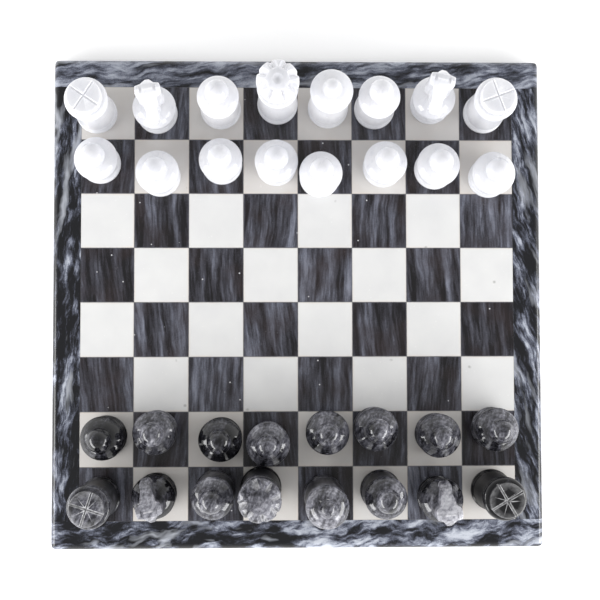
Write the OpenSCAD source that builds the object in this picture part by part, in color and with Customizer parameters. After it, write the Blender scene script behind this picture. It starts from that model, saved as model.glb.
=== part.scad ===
// Stone chess set laid out for a game: an inlaid marble board with a round-edged
// border, and two armies of sixteen turned pieces. Origin at the centre of the
// board's underside, +Z up, +Y towards the white army. Millimetres.

/* [Board] */
// Side of one square, joint line included
square_side = 42.4; // [40:0.2:48]
// How much the outermost squares were trimmed to fit inside the border
outer_trim = 1; // [0:0.1:3]
// Width of the border round the squares
border_w = 21.9; // [16:0.1:30]
// Height of the board's top face above the table
board_h = 15; // [12:0.5:22]
// Thickness of the inlaid squares and of the border strips
tile_t = 6; // [5.5:0.5:7]
// Width of the joint line round a square
joint_w = 0.4; // [0.2:0.1:1.2]
// Radius of the round-over on the border's outer top edge
edge_r = 5; // [2:0.5:5]
// Radius of the board's corners, seen from above
corner_r = 6; // [3:0.5:12]
// Thickness of the felt under the slab
felt_t = 1; // [0.5:0.5:2]

/* [Pieces] */
// Diameter of every piece's foot
base_d = 31.5; // [29:0.5:32]
// Height of a king
king_h = 81; // [78:1:88]
// Height of a queen
queen_h = 73; // [70:1:77]
// Height of a bishop
bishop_h = 68; // [65:1:72]
// Height of a knight
knight_h = 61; // [58:1:64]
// Height of a rook
rook_h = 60; // [56:1:64]
// Height of a pawn
pawn_h = 47; // [44:0.5:50]
// Width of the saw cuts in the rooks' and kings' tops
kerf_w = 1.6; // [0.8:0.1:2.4]

/* [Hidden] */
$fn = 96;
base_r = base_d / 2;
field_w = 8 * square_side - 2 * outer_trim;
board_w = field_w + 2 * border_w;
tile_w = square_side - joint_w;
bed_t = 0.5; // adhesive under the tiles and strips
slab_t = board_h - felt_t - bed_t - tile_t;
slab_top = felt_t + slab_t;
felt_inset = 4;
joint_sink = 0.2; // how far the joint lines lie below the squares
arc_steps = 10;
eps = 0.01;

// Shape shared by the capped pieces: the body, and the cap's rim and dome
body_r = 15.1;
cap_t = 3.4;
cap_dome_r = 20;

// Where each piece stands: millimetres from the centre of its square, and its turn
back_row = [
    "rook_left", "knight_left", "bishop_left", "king", "queen",
    "bishop_right", "knight_right", "rook_right"
];
white_back_off = [
    [-8, -1], [-3.5, -1], [3.5, 2.5], [5.5, 6.5], [2.5, 3.5], [-3.5, 3], [-2, 7], [-2.5, 0]
];
white_pawn_off = [
    [-5, 2], [-1, -8], [4.5, 1.5], [4.5, 0.5], [-4, -8.5], [3, -0.5], [1, -2], [1, -8.5]
];
grey_back_off = [
    [-4, -1.5], [-3, 1.5], [0, 3.5], [-7.5, 6], [-1.5, -1], [0, 3], [1.5, -2], [1, 3]
];
grey_pawn_off = [
    [1, 3], [-2.5, 7], [4.5, 1.5], [-2, -2], [0.5, 6.5], [-5, 9], [0, 4], [1.5, 8.5]
];
white_turn = [56, 9, 0, 20, 0, 0, -13, 20];
grey_turn = [72, 13, 0, 10, 0, 0, 4, 30];
white_stone = "whitesmoke";
grey_stone = "dimgray";

board_nodes = [
    "felt_backing", "base_slab", "joint_resin", "dark_squares", "light_squares",
    "border_far", "border_near", "border_left", "border_right"
];

// ---- outlines, as lists of [radius, height] ----

// Points on an arc, from angle a0 to angle a1
function arc(x, z, r, a0, a1) =
    [for (i = [0:arc_steps]) let (a = a0 + (a1 - a0) * i / arc_steps) [x + r * cos(a), z + r * sin(a)]];

// Half-round ring whose crest is at radius r and height z
function bead(r, z, t) = arc(r - t / 2, z, t / 2, -90, 90);

// Hollow waist of radius r at heights z0 and z1, narrower by dip in the middle
function waist(r, z0, z1, dip) =
    let (hollow_r = (pow((z1 - z0) / 2, 2) + dip * dip) / (2 * dip))
    let (half = asin((z1 - z0) / 2 / hollow_r))
    arc(r - dip + hollow_r, (z0 + z1) / 2, hollow_r, 180 + half, 180 - half);

// Bulge with a rim of radius t that runs into a flattened dome of radius dome_r,
// which ends at radius r_end
function bulge_sink(r, t, dome_r) = sqrt(pow(dome_r - t, 2) - pow(r - t, 2));
function bulge(r, z, t, dome_r, r_end) =
    let (meet = acos((r - t) / (dome_r - t)))
    concat(
        arc(r - t, z, t, -90, meet),
        arc(0, z - bulge_sink(r, t, dome_r), dome_r, meet, acos(r_end / dome_r))
    );
function bulge_end(r, z, t, dome_r, r_end) =
    z - bulge_sink(r, t, dome_r) + sqrt(dome_r * dome_r - r_end * r_end);

// Foot that all the pieces share: a rounded disc, a groove and a smaller ring
foot_top = 7.6;
foot = concat(
    [[0, 0], [base_r - 0.8, 0], [base_r, 0.8]],
    arc(base_r - 1.5, 3, 1.5, 0, 90),
    [[base_r - 2.6, 4.6]],
    bead(base_r - 0.6, 5.9, 2.4),
    [[base_r - 2.2, foot_top]]
);

// Nearly straight body between the foot and height z1, with a ring at each end
function body(z1, dip) = concat(
    bead(body_r + 0.3, foot_top + 1.5, 2.4),
    waist(body_r, foot_top + 3, z1 - 3, dip),
    bead(body_r + 0.2, z1 - 1.6, 2.4),
    [[body_r - 1.7, z1]]
);

// What the pawn and the knight stand on: a low, wide bulge whose dome ends at radius r_end
low_rim_z = 22.5;
low_rim_r = 16.5;
function low_base(r_end) = concat(
    foot,
    body(low_rim_z - 4, 0.3),
    bulge(low_rim_r, low_rim_z, cap_t, cap_dome_r, r_end)
);

// ---- board ----

module plan_outline(w, r) {
    translate([r - w / 2, -w / 2]) square([w - 2 * r, w]);
    translate([-w / 2, r - w / 2]) square([w, w - 2 * r]);
    for (x = [-1, 1], y = [-1, 1])
        translate([x * (w / 2 - r), y * (w / 2 - r)]) circle(r = r);
}

// Upright section of the border, its outer top corners rounded
module strip_section() {
    z0 = slab_top + bed_t;
    half = board_w / 2;
    intersection() {
        translate([-half, z0]) square([board_w, tile_t]);
        union() {
            translate([-half, 0]) square([board_w, board_h - edge_r]);
            translate([edge_r - half, 0]) square([board_w - 2 * edge_r, board_h]);
            for (side = [-1, 1])
                translate([side * (half - edge_r), board_h - edge_r]) circle(r = edge_r);
        }
    }
}

module border_ring() {
    intersection() {
        linear_extrude(board_h) plan_outline(board_w, corner_r);
        rotate([90, 0, 0]) linear_extrude(board_w + 2, center = true) strip_section();
        rotate([90, 0, 90]) linear_extrude(board_w + 2, center = true) strip_section();
    }
}

// The far and near strips run the whole width; the side strips butt between them
module end_strip(side) {
    intersection() {
        border_ring();
        translate([-board_w / 2, side > 0 ? field_w / 2 : -board_w / 2, 0])
            cube([board_w, border_w, board_h]);
    }
}

module side_strip(side) {
    intersection() {
        border_ring();
        translate([side > 0 ? field_w / 2 : -board_w / 2, -field_w / 2, 0])
            cube([border_w, field_w, board_h]);
    }
}

module felt_backing() {
    color("darkslategray")
        linear_extrude(felt_t) plan_outline(board_w - 2 * felt_inset, corner_r);
}

module base_slab() {
    color("gray")
        translate([0, 0, felt_t]) linear_extrude(slab_t) plan_outline(board_w, corner_r);
}

// Adhesive bed with the joint lines standing up between the squares
module joint_resin() {
    color("tan") {
        translate([0, 0, slab_top]) linear_extrude(bed_t) plan_outline(board_w - 1, corner_r);
        translate([0, 0, slab_top + bed_t - eps])
            linear_extrude(tile_t - joint_sink + eps)
                difference() {
                    square(field_w, center = true);
                    for (i = [0:7], j = [0:7])
                        tile_plan(i, j);
                }
    }
}

// Plan of the tile in column i and row j; the outermost ones are trimmed to the field
module tile_plan(i, j) {
    intersection() {
        translate([(i - 3.5) * square_side, (j - 3.5) * square_side]) square(tile_w, center = true);
        square(field_w - joint_w, center = true);
    }
}

// Thirty-two tiles; the near left corner square is dark
module squares(parity) {
    translate([0, 0, board_h - tile_t])
        for (i = [0:7], j = [0:7])
            if ((i + j) % 2 == parity) linear_extrude(tile_t) tile_plan(i, j);
}

module dark_squares() { color("darkslategray") squares(0); }
module light_squares() { color("ivory") squares(1); }
module border_far() { color("slategray") end_strip(1); }
module border_near() { color("slategray") end_strip(-1); }
module border_left() { color("slategray") side_strip(-1); }
module border_right() { color("slategray") side_strip(1); }

// ---- pieces, each standing on its own centre and facing +Y ----

module turned(outline) {
    rotate_extrude() polygon(outline);
}

module pawn() {
    ball_r = 9.2;
    neck_r = 6;
    dome_end_r = 7;
    collar_z = bulge_end(low_rim_r, low_rim_z, cap_t, cap_dome_r, dome_end_r) + 0.6;
    turned(concat(
        low_base(dome_end_r),
        bead(dome_end_r + 0.8, collar_z, 1.2),
        arc(0, pawn_h - ball_r, ball_r, -acos(neck_r / ball_r), 90)
    ));
}

module bishop() {
    ball_r = 9;
    neck_r = 5.5;
    rim_r = 15.6;
    rim_z = bishop_h - 25;
    dome_end_r = 6.6;
    collar_z = bulge_end(rim_r, rim_z, cap_t, cap_dome_r, dome_end_r) + 0.6;
    turned(concat(
        foot,
        body(rim_z - 4, 0.5),
        bulge(rim_r, rim_z, cap_t, cap_dome_r, dome_end_r),
        bead(dome_end_r + 0.8, collar_z, 1.2),
        arc(0, bishop_h - ball_r, ball_r, -acos(neck_r / ball_r), 90)
    ));
}

module queen() {
    button_r = 6.5;
    rim_r = 15.8;
    rim_t = 3.2;
    rim_z = queen_h - 15;
    dome_r = 18.5;
    dome_end_r = 6.8;
    collar_z = bulge_end(rim_r, rim_z, rim_t, dome_r, dome_end_r) + 0.5;
    turned(concat(
        foot,
        body(rim_z - 4, 0.5),
        bulge(rim_r, rim_z, rim_t, dome_r, dome_end_r),
        bead(dome_end_r + 0.4, collar_z, 1),
        arc(0, queen_h - button_r, button_r, 12, 90)
    ));
}

// The crown's rim is sawn into eight lobes
module king() {
    dome_r = 22;
    rim_r = 15.6;
    rim_t = 4;
    rim_z = king_h - dome_r + bulge_sink(rim_r, rim_t, dome_r) + 0.4;
    ring_z = rim_z - 17;
    hollow_r = 4; // shallow hollow in the middle of the crown
    hollow_z = king_h - 1.6;
    cut_r = 8.5; // each saw cut starts this far out and slopes down to the rim
    cut_z = rim_z + 5.4;
    cut_tilt = 38;
    cut_deep = 3;
    difference() {
        turned(concat(
            foot,
            body(ring_z, 0.5),
            waist(body_r - 0.2, ring_z + 1, rim_z - 7, 0.4),
            [[body_r - 0.5, rim_z - 5]],
            bulge(rim_r, rim_z, rim_t, dome_r, hollow_r),
            [[0, hollow_z]]
        ));
        for (turn = [0:45:315])
            rotate(turn) translate([cut_r, 0, cut_z]) rotate([0, cut_tilt, 0])
                translate([0, -kerf_w / 2, -cut_deep]) cube([14, kerf_w, cut_deep + 5]);
    }
}

// The tower's top is quartered by two saw cuts
module rook() {
    cut_deep = 3;
    top_r = 12.8;
    collar_r = 15.9;
    collar_t = 6.4;
    collar_z = rook_h - 10.6;
    difference() {
        turned(concat(
            foot,
            body(collar_z - 4, 0.4),
            bead(collar_r, collar_z, collar_t),
            [[top_r, collar_z + 4]],
            [[top_r, rook_h - 0.8], [top_r - 0.6, rook_h], [0, rook_h]]
        ));
        for (turn = [0, 90])
            rotate(turn)
                translate([-15, -kerf_w / 2, rook_h - cut_deep]) cube([30, kerf_w, cut_deep + 1]);
    }
}

// Side view of the horse's head and neck, nose towards +Y, as [y, z]
head_side = [
    [-9, 26], [-12.5, 34], [-14.5, 44], [-14, 52], [-9, knight_h - 1.4], [-5, knight_h],
    [-1, knight_h - 2], [5, knight_h - 6], [15, knight_h - 13.6], [17.6, knight_h - 17],
    [16.8, knight_h - 22], [12, knight_h - 25], [5, knight_h - 21.5], [3, knight_h - 25],
    [5, 32], [8, 26]
];
// Half of the head's plan, as [x, y]; the other half mirrors it
head_plan = [
    [0, -14.6], [1.4, -14.4], [5, -9.6], [9, -8.4], [9.4, -2], [8, 0], [5.6, 1],
    [5.2, 5], [4, 9], [4.4, 14], [2.8, 17.4], [0, 18]
];

module knight() {
    ear_size = [2.4, 4.8, 6];
    ear_x = 5.4;
    ear_y = -5.2;
    ear_lean = 12;
    eye_r = 1.5;
    eye_at = [6.6, 3.4, knight_h - 9];
    mouth_w = 0.8;
    mouth_slope = 14;
    dome_end_r = 4;
    dome_top = bulge_end(low_rim_r, low_rim_z, cap_t, cap_dome_r, dome_end_r);
    turned(concat(low_base(dome_end_r), [[0, dome_top]]));
    difference() {
        intersection() {
            rotate([90, 0, 90]) linear_extrude(20, center = true) polygon(head_side);
            linear_extrude(knight_h + 1)
                union() {
                    polygon(head_plan);
                    mirror([1, 0]) polygon(head_plan);
                }
        }
        for (side = [-1, 1]) // hollow behind each ear
            translate([side * ear_x, ear_y, knight_h - 1])
                rotate([0, side * ear_lean, 0]) cube(ear_size, center = true);
        for (side = [-1, 1]) // eye socket
            translate([side * eye_at[0], eye_at[1], eye_at[2]]) rotate([0, 90, 0])
                cylinder(r = eye_r, h = 3, center = true);
        translate([-6, 11, knight_h - 20]) rotate([mouth_slope, 0, 0]) cube([12, 9, mouth_w]);
    }
}

module piece(name) {
    if (name == "king") king();
    if (name == "queen") queen();
    if (name == "bishop_left" || name == "bishop_right") bishop();
    if (name == "knight_left" || name == "knight_right") knight();
    if (name == "rook_left" || name == "rook_right") rook();
    if (name == "pawn") pawn();
}

// One piece on its square: col counts squares from the left edge, rank from the middle
module stand(name, col, rank, off, turn) {
    translate([(col - 3.5) * square_side + off[0], rank * square_side + off[1], board_h])
        rotate(turn) piece(name);
}

module white_back(i) {
    color(white_stone) stand(back_row[i], i, 3.5, white_back_off[i], 180 + white_turn[i]);
}

module grey_back(i) {
    color(grey_stone) stand(back_row[i], i, -3.5, grey_back_off[i], grey_turn[i]);
}

module white_pawn(i) {
    color(white_stone) stand("pawn", i, 2.5, white_pawn_off[i], 0);
}

module grey_pawn(i) {
    color(grey_stone) stand("pawn", i, -2.5, grey_pawn_off[i], 0);
}

felt_backing();
base_slab();
joint_resin();
dark_squares();
light_squares();
border_far();
border_near();
border_left();
border_right();
for (i = [0:7]) {
    white_back(i);
    grey_back(i);
    white_pawn(i);
    grey_pawn(i);
}
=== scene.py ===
import bpy
from math import acos, asin, atan2, cos, degrees, hypot, pi, radians, sin, sqrt
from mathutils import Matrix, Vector


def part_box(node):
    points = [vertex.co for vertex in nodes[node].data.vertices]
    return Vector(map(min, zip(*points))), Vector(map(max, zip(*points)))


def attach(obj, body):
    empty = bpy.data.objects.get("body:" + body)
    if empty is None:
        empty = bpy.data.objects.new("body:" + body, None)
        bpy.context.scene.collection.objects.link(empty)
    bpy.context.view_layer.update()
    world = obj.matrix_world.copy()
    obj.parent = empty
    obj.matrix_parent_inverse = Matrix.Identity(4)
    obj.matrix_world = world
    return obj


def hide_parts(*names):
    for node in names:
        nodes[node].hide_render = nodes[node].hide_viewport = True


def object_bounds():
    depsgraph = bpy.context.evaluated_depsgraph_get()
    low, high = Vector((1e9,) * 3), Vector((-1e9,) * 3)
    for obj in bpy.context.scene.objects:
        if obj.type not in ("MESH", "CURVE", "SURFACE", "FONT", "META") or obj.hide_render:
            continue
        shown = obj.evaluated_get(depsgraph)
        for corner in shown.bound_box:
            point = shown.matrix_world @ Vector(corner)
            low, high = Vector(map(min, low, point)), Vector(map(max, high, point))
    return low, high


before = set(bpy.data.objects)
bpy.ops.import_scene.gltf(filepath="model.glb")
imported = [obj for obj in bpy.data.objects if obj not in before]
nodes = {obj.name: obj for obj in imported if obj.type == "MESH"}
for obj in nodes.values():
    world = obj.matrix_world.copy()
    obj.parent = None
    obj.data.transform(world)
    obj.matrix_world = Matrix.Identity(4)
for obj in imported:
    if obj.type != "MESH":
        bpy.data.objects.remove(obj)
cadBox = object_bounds()
mm = 0.001
print("frame loaded:", len(nodes), "nodes")

# Camera, straight above the board and a little towards the grey army
cameraSetup = {"place": (-0.0174, -0.0321, 0.815), "turn": (2.42, -1.36, -0.11), "lens": 61.7}

bpy.ops.object.select_all(action="DESELECT")
bpy.ops.object.camera_add(
    location=cameraSetup["place"],
    rotation=[radians(a) for a in cameraSetup["turn"]],
)
shot = bpy.context.object
shot.name = "overheadCamera"
shot.data.lens = cameraSetup["lens"]
bpy.context.scene.camera = shot

# Studio: a pale sky and a softbox on each side
studio = {
    "sky": 0.60,           # light from straight above
    "horizon": 1.95,       # light from the sides
    "fadeFrom": 0.1,       # where on the sky sphere the side light starts to fade
    "fadeTo": 0.9,
    "boxPower": 9.6,       # each softbox, in watts
    "boxPlace": (0.80, -0.42, 0.34),
    "boxSize": (0.28, 1.15),
    "floorSize": 6.0,
}

world = bpy.data.worlds.new("studioWorld")
bpy.context.scene.world = world
world.use_nodes = True
skyTree = world.node_tree
skyTree.nodes.clear()
skyPlace = skyTree.nodes.new("ShaderNodeTexCoord")
skySplit = skyTree.nodes.new("ShaderNodeSeparateXYZ")
skyRamp = skyTree.nodes.new("ShaderNodeMapRange")
skyRamp.inputs["From Min"].default_value = studio["fadeFrom"]
skyRamp.inputs["From Max"].default_value = studio["fadeTo"]
skyRamp.inputs["To Min"].default_value = studio["horizon"]
skyRamp.inputs["To Max"].default_value = studio["sky"]
skyLight = skyTree.nodes.new("ShaderNodeBackground")
skyOut = skyTree.nodes.new("ShaderNodeOutputWorld")
skyTree.links.new(skyPlace.outputs["Generated"], skySplit.inputs[0])
skyTree.links.new(skySplit.outputs["Z"], skyRamp.inputs["Value"])
skyTree.links.new(skyRamp.outputs["Result"], skyLight.inputs["Strength"])
skyTree.links.new(skyLight.outputs[0], skyOut.inputs[0])

for side in (-1, 1):
    out, back, up = studio["boxPlace"]
    bpy.ops.object.light_add(type="AREA", location=(side * out, back, up))
    softbox = bpy.context.object
    softbox.name = "softboxLeft" if side < 0 else "softboxRight"
    softbox.rotation_euler = Vector((side * out, back, up)).to_track_quat("Z", "Y").to_euler()
    softbox.data.shape = "RECTANGLE"
    softbox.data.size = studio["boxSize"][1]
    softbox.data.size_y = studio["boxSize"][0]
    softbox.data.energy = studio["boxPower"]

scene = bpy.context.scene
scene.view_settings.view_transform = "Standard"
scene.view_settings.look = "None"
print("studio set")


def srgb(red, green, blue):
    def one(value):
        value = value / 255
        return value / 12.92 if value <= 0.04045 else ((value + 0.055) / 1.055) ** 2.4
    return (one(red), one(green), one(blue), 1)


def put(tree, kind, settings=None, values=None):
    made = tree.nodes.new("ShaderNode" + kind)
    for name, value in (settings or {}).items():
        setattr(made, name, value)
    for name, value in (values or {}).items():
        made.inputs[name].default_value = value
    return made


def wire(tree, source, target):
    tree.links.new(source, target)


def maths(tree, operation, first, second=None, clamp=False):
    made = put(tree, "Math", {"operation": operation, "use_clamp": clamp})
    for i, value in enumerate((first, second)):
        if value is None:
            continue
        if isinstance(value, (int, float)):
            made.inputs[i].default_value = value
        else:
            wire(tree, value, made.inputs[i])
    return made.outputs[0]


def vectorMaths(tree, operation, first, second):
    made = put(tree, "VectorMath", {"operation": operation})
    for i, value in enumerate((first, second)):
        if isinstance(value, tuple):
            made.inputs[i].default_value = value
        else:
            wire(tree, value, made.inputs[i])
    return made.outputs[0]


def ramp(tree, value, stops):
    made = put(tree, "ValToRGB")
    bar = made.color_ramp
    while len(bar.elements) > 1:
        bar.elements.remove(bar.elements[-1])
    bar.elements[0].position = stops[0][0]
    bar.elements[0].color = stops[0][1]
    for place, colour in stops[1:]:
        bar.elements.new(place).color = colour
    wire(tree, value, made.inputs[0])
    return made.outputs["Color"]


def spread(tree, value, low, high, newLow=0.0, newHigh=1.0):
    ends = {"From Min": low, "From Max": high, "To Min": newLow, "To Max": newHigh}
    made = put(tree, "MapRange", None, ends)
    wire(tree, value, made.inputs["Value"])
    return made.outputs["Result"]


def blendColours(tree, share, first, second):
    made = put(tree, "Mix", {"data_type": "RGBA"})
    for socket, value in ((0, share), (6, first), (7, second)):
        if isinstance(value, (int, float, tuple)):
            made.inputs[socket].default_value = value
        else:
            wire(tree, value, made.inputs[socket])
    return made.outputs[2]


def startGroup(name, inputs, outputs):
    tree = bpy.data.node_groups.new(name, "ShaderNodeTree")
    for label, kind, value in inputs:
        socket = tree.interface.new_socket(label, in_out="INPUT", socket_type="NodeSocket" + kind)
        if value is not None:
            socket.default_value = value
    for label, kind in outputs:
        tree.interface.new_socket(label, in_out="OUTPUT", socket_type="NodeSocket" + kind)
    return tree, tree.nodes.new("NodeGroupInput"), tree.nodes.new("NodeGroupOutput")


def useGroup(tree, group, values=None, links=None):
    made = put(tree, "Group")
    made.node_tree = group
    for name, value in (values or {}).items():
        made.inputs[name].default_value = value
    for name, source in (links or {}).items():
        wire(tree, source, made.inputs[name])
    return made


# Sedimentary veins that run along the local Y axis after the pattern is turned by Turn
veinGroup, gin, gout = startGroup(
    "marbleVeins",
    [("Vector", "Vector", None), ("Turn", "Float", 0.0), ("Band", "Float", 0.004),
     ("Length", "Float", 9.0), ("Sway", "Float", 0.003), ("Seed", "Float", 0.0)],
    [(label, "Float") for label in ("Bands", "Streaks", "Lenses", "Clouds", "Grain")],
)
veinLook = {
    "swayScale": 32.0, "cloudScale": 45.0, "grainScale": 1500.0,
    # noise scale, detail and roughness, and the values that become 0 and 1
    "kinds": {
        "Bands": (0.62, 2.0, 0.5, 0.28, 0.72),
        "Streaks": (2.1, 4.0, 0.62, 0.28, 0.72),
        "Lenses": (0.36, 3.0, 0.5, 0.56, 0.68),
    },
}
t = veinGroup
turned = put(t, "VectorRotate", {"rotation_type": "Z_AXIS"})
wire(t, gin.outputs["Vector"], turned.inputs["Vector"])
wire(t, gin.outputs["Turn"], turned.inputs["Angle"])
swayNoise = put(t, "TexNoise", {"noise_dimensions": "4D"}, {"Scale": veinLook["swayScale"], "Detail": 3.0})
wire(t, turned.outputs[0], swayNoise.inputs["Vector"])
wire(t, gin.outputs["Seed"], swayNoise.inputs["W"])
swayCentred = vectorMaths(t, "SUBTRACT", swayNoise.outputs["Color"], (0.5, 0.5, 0.5))
swayScale = put(t, "VectorMath", {"operation": "SCALE"})
wire(t, swayCentred, swayScale.inputs[0])
wire(t, gin.outputs["Sway"], swayScale.inputs["Scale"])
swayed = vectorMaths(t, "ADD", turned.outputs[0], swayScale.outputs[0])
parts = put(t, "SeparateXYZ")
wire(t, swayed, parts.inputs[0])
across = maths(t, "DIVIDE", parts.outputs["X"], gin.outputs["Band"])
longBand = maths(t, "MULTIPLY", gin.outputs["Band"], gin.outputs["Length"])
along = maths(t, "DIVIDE", parts.outputs["Y"], longBand)
deep = maths(t, "DIVIDE", parts.outputs["Z"], longBand)
drawn = put(t, "CombineXYZ")
wire(t, across, drawn.inputs["X"])
wire(t, along, drawn.inputs["Y"])
wire(t, deep, drawn.inputs["Z"])
for label, (scale, detail, rough, low, high) in veinLook["kinds"].items():
    noise = put(t, "TexNoise", {"noise_dimensions": "4D"},
                {"Scale": scale, "Detail": detail, "Roughness": rough})
    wire(t, drawn.outputs[0], noise.inputs["Vector"])
    wire(t, gin.outputs["Seed"], noise.inputs["W"])
    wire(t, spread(t, noise.outputs["Fac"], low, high), gout.inputs[label])
cloudNoise = put(t, "TexNoise", {"noise_dimensions": "4D"}, {"Scale": veinLook["cloudScale"], "Detail": 3.0})
wire(t, turned.outputs[0], cloudNoise.inputs["Vector"])
wire(t, gin.outputs["Seed"], cloudNoise.inputs["W"])
wire(t, spread(t, cloudNoise.outputs["Fac"], 0.3, 0.7), gout.inputs["Clouds"])
grainNoise = put(t, "TexNoise", None, {"Scale": veinLook["grainScale"], "Detail": 2.0})
wire(t, turned.outputs[0], grainNoise.inputs["Vector"])
wire(t, spread(t, grainNoise.outputs["Fac"], 0.3, 0.7), gout.inputs["Grain"])

# Splits the board into squares: a place inside each, a random number and the way to its edge
squareGroup, gin, gout = startGroup(
    "boardSquares",
    [("Vector", "Vector", None), ("Side", "Float", 0.0424), ("Tilt", "Float", 0.2)],
    [("Vector", "Vector"), ("Turn", "Float"), ("Random", "Float"), ("Second", "Float"), ("Edge", "Float")],
)
t = squareGroup
parts = put(t, "SeparateXYZ")
wire(t, gin.outputs["Vector"], parts.inputs[0])
cell = put(t, "CombineXYZ")
local = put(t, "CombineXYZ")
edges = []
for axis in ("X", "Y"):
    inSides = maths(t, "DIVIDE", parts.outputs[axis], gin.outputs["Side"])
    number = maths(t, "FLOOR", inSides)
    wire(t, number, cell.inputs[axis])
    inside = maths(t, "SUBTRACT", maths(t, "SUBTRACT", inSides, number), 0.5)
    wire(t, maths(t, "MULTIPLY", inside, gin.outputs["Side"]), local.inputs[axis])
    edges.append(maths(t, "ABSOLUTE", inside))
wire(t, parts.outputs["Z"], local.inputs["Z"])
fromEdge = maths(t, "SUBTRACT", 0.5, maths(t, "MAXIMUM", edges[0], edges[1]))
wire(t, maths(t, "MULTIPLY", fromEdge, gin.outputs["Side"]), gout.inputs["Edge"])
chance = put(t, "TexWhiteNoise", {"noise_dimensions": "3D"})
wire(t, cell.outputs[0], chance.inputs["Vector"])
chanceParts = put(t, "SeparateXYZ")
wire(t, chance.outputs["Color"], chanceParts.inputs[0])
wire(t, maths(t, "MULTIPLY", maths(t, "SUBTRACT", chanceParts.outputs["X"], 0.5), gin.outputs["Tilt"]),
     gout.inputs["Turn"])
wire(t, chanceParts.outputs["Y"], gout.inputs["Random"])
wire(t, chanceParts.outputs["Z"], gout.inputs["Second"])
wire(t, local.outputs[0], gout.inputs["Vector"])

# Polished stone: a little unevenness in the gloss, fine scratches and rare pits
polishGroup, gin, gout = startGroup(
    "stonePolish",
    [("Vector", "Vector", None), ("Roughness", "Float", 0.15), ("Unevenness", "Float", 0.08)],
    [("Roughness", "Float"), ("Height", "Float")],
)
polishLook = {
    "smear": 60.0, "scratches": 900.0, "pits": 260.0, "pitAreas": 90.0,
    "pitRoughness": 0.4, "smearHeight": 0.3, "scratchHeight": 0.15,
}
t = polishGroup
smear = put(t, "TexNoise", None, {"Scale": polishLook["smear"], "Detail": 4.0})
wire(t, gin.outputs["Vector"], smear.inputs["Vector"])
pitCells = put(t, "TexVoronoi", None, {"Scale": polishLook["pits"]})
wire(t, gin.outputs["Vector"], pitCells.inputs["Vector"])
pitChance = put(t, "TexNoise", None, {"Scale": polishLook["pitAreas"], "Detail": 1.0})
wire(t, gin.outputs["Vector"], pitChance.inputs["Vector"])
pitSpot = spread(t, pitCells.outputs["Distance"], 0.10, 0.16, 1.0, 0.0)
pitMask = maths(t, "MULTIPLY", pitSpot, spread(t, pitChance.outputs["Fac"], 0.60, 0.66))
fine = put(t, "TexNoise", None, {"Scale": polishLook["scratches"], "Detail": 3.0})
wire(t, gin.outputs["Vector"], fine.inputs["Vector"])
offset = maths(t, "MULTIPLY", maths(t, "SUBTRACT", smear.outputs["Fac"], 0.5), gin.outputs["Unevenness"])
rough = maths(t, "ADD", gin.outputs["Roughness"], offset)
pitRough = maths(t, "MULTIPLY", pitMask, polishLook["pitRoughness"])
wire(t, maths(t, "ADD", rough, pitRough, True), gout.inputs["Roughness"])
height = maths(t, "ADD", maths(t, "MULTIPLY", fine.outputs["Fac"], polishLook["scratchHeight"]),
               maths(t, "MULTIPLY", smear.outputs["Fac"], polishLook["smearHeight"]))
wire(t, maths(t, "SUBTRACT", height, pitMask), gout.inputs["Height"])

# Sharp edges are painted paler than the polished faces: partly paler sawn and ground stone, partly a painted
# highlight along the edges
edgeSheenGroup, gin, gout = startGroup(
    "paleEdgesAndSheen",
    [("Vector", "Vector", None), ("Low", "Float", 0.52), ("High", "Float", 0.60)],
    [("Mask", "Float")],
)
t = edgeSheenGroup
bent = put(t, "NewGeometry")
edgeSpread = put(t, "MapRange")
wire(t, bent.outputs["Pointiness"], edgeSpread.inputs["Value"])
wire(t, gin.outputs["Low"], edgeSpread.inputs["From Min"])
wire(t, gin.outputs["High"], edgeSpread.inputs["From Max"])
broken = put(t, "TexNoise", None, {"Scale": 420.0, "Detail": 2.0})
wire(t, gin.outputs["Vector"], broken.inputs["Vector"])
patchy = spread(t, broken.outputs["Fac"], 0.3, 0.6, 0.35, 1.0)
wire(t, maths(t, "MULTIPLY", edgeSpread.outputs["Result"], patchy), gout.inputs["Mask"])


def startMaterial(name):
    made = bpy.data.materials.new(name)
    made.use_nodes = True
    tree = made.node_tree
    shader = tree.nodes["Principled BSDF"]
    place = put(tree, "TexCoord").outputs["Object"]
    return made, tree, shader, place


def addBump(tree, shader, height, strength, distance):
    bump = put(tree, "Bump", None, {"Strength": strength, "Distance": distance})
    wire(tree, height, bump.inputs["Height"])
    wire(tree, bump.outputs[0], shader.inputs["Normal"])


def addPolish(tree, shader, place, look):
    ends = {"Roughness": look["roughness"], "Unevenness": look["uneven"]}
    polish = useGroup(tree, polishGroup, ends, {"Vector": place})
    wire(tree, polish.outputs["Roughness"], shader.inputs["Roughness"])
    addBump(tree, shader, polish.outputs["Height"], look["bump"], look["bumpDepth"])


def mixVeins(tree, veins, shares):
    total = None
    for label, share in shares.items():
        part = maths(tree, "MULTIPLY", veins.outputs[label], share)
        total = part if total is None else maths(tree, "ADD", total, part)
    return total


def stoneRamp(tree, value, look):
    return ramp(tree, value, [(place, look[tone]) for tone, place in look["stops"].items()])


tileSide = 42.4 * mm

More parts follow.
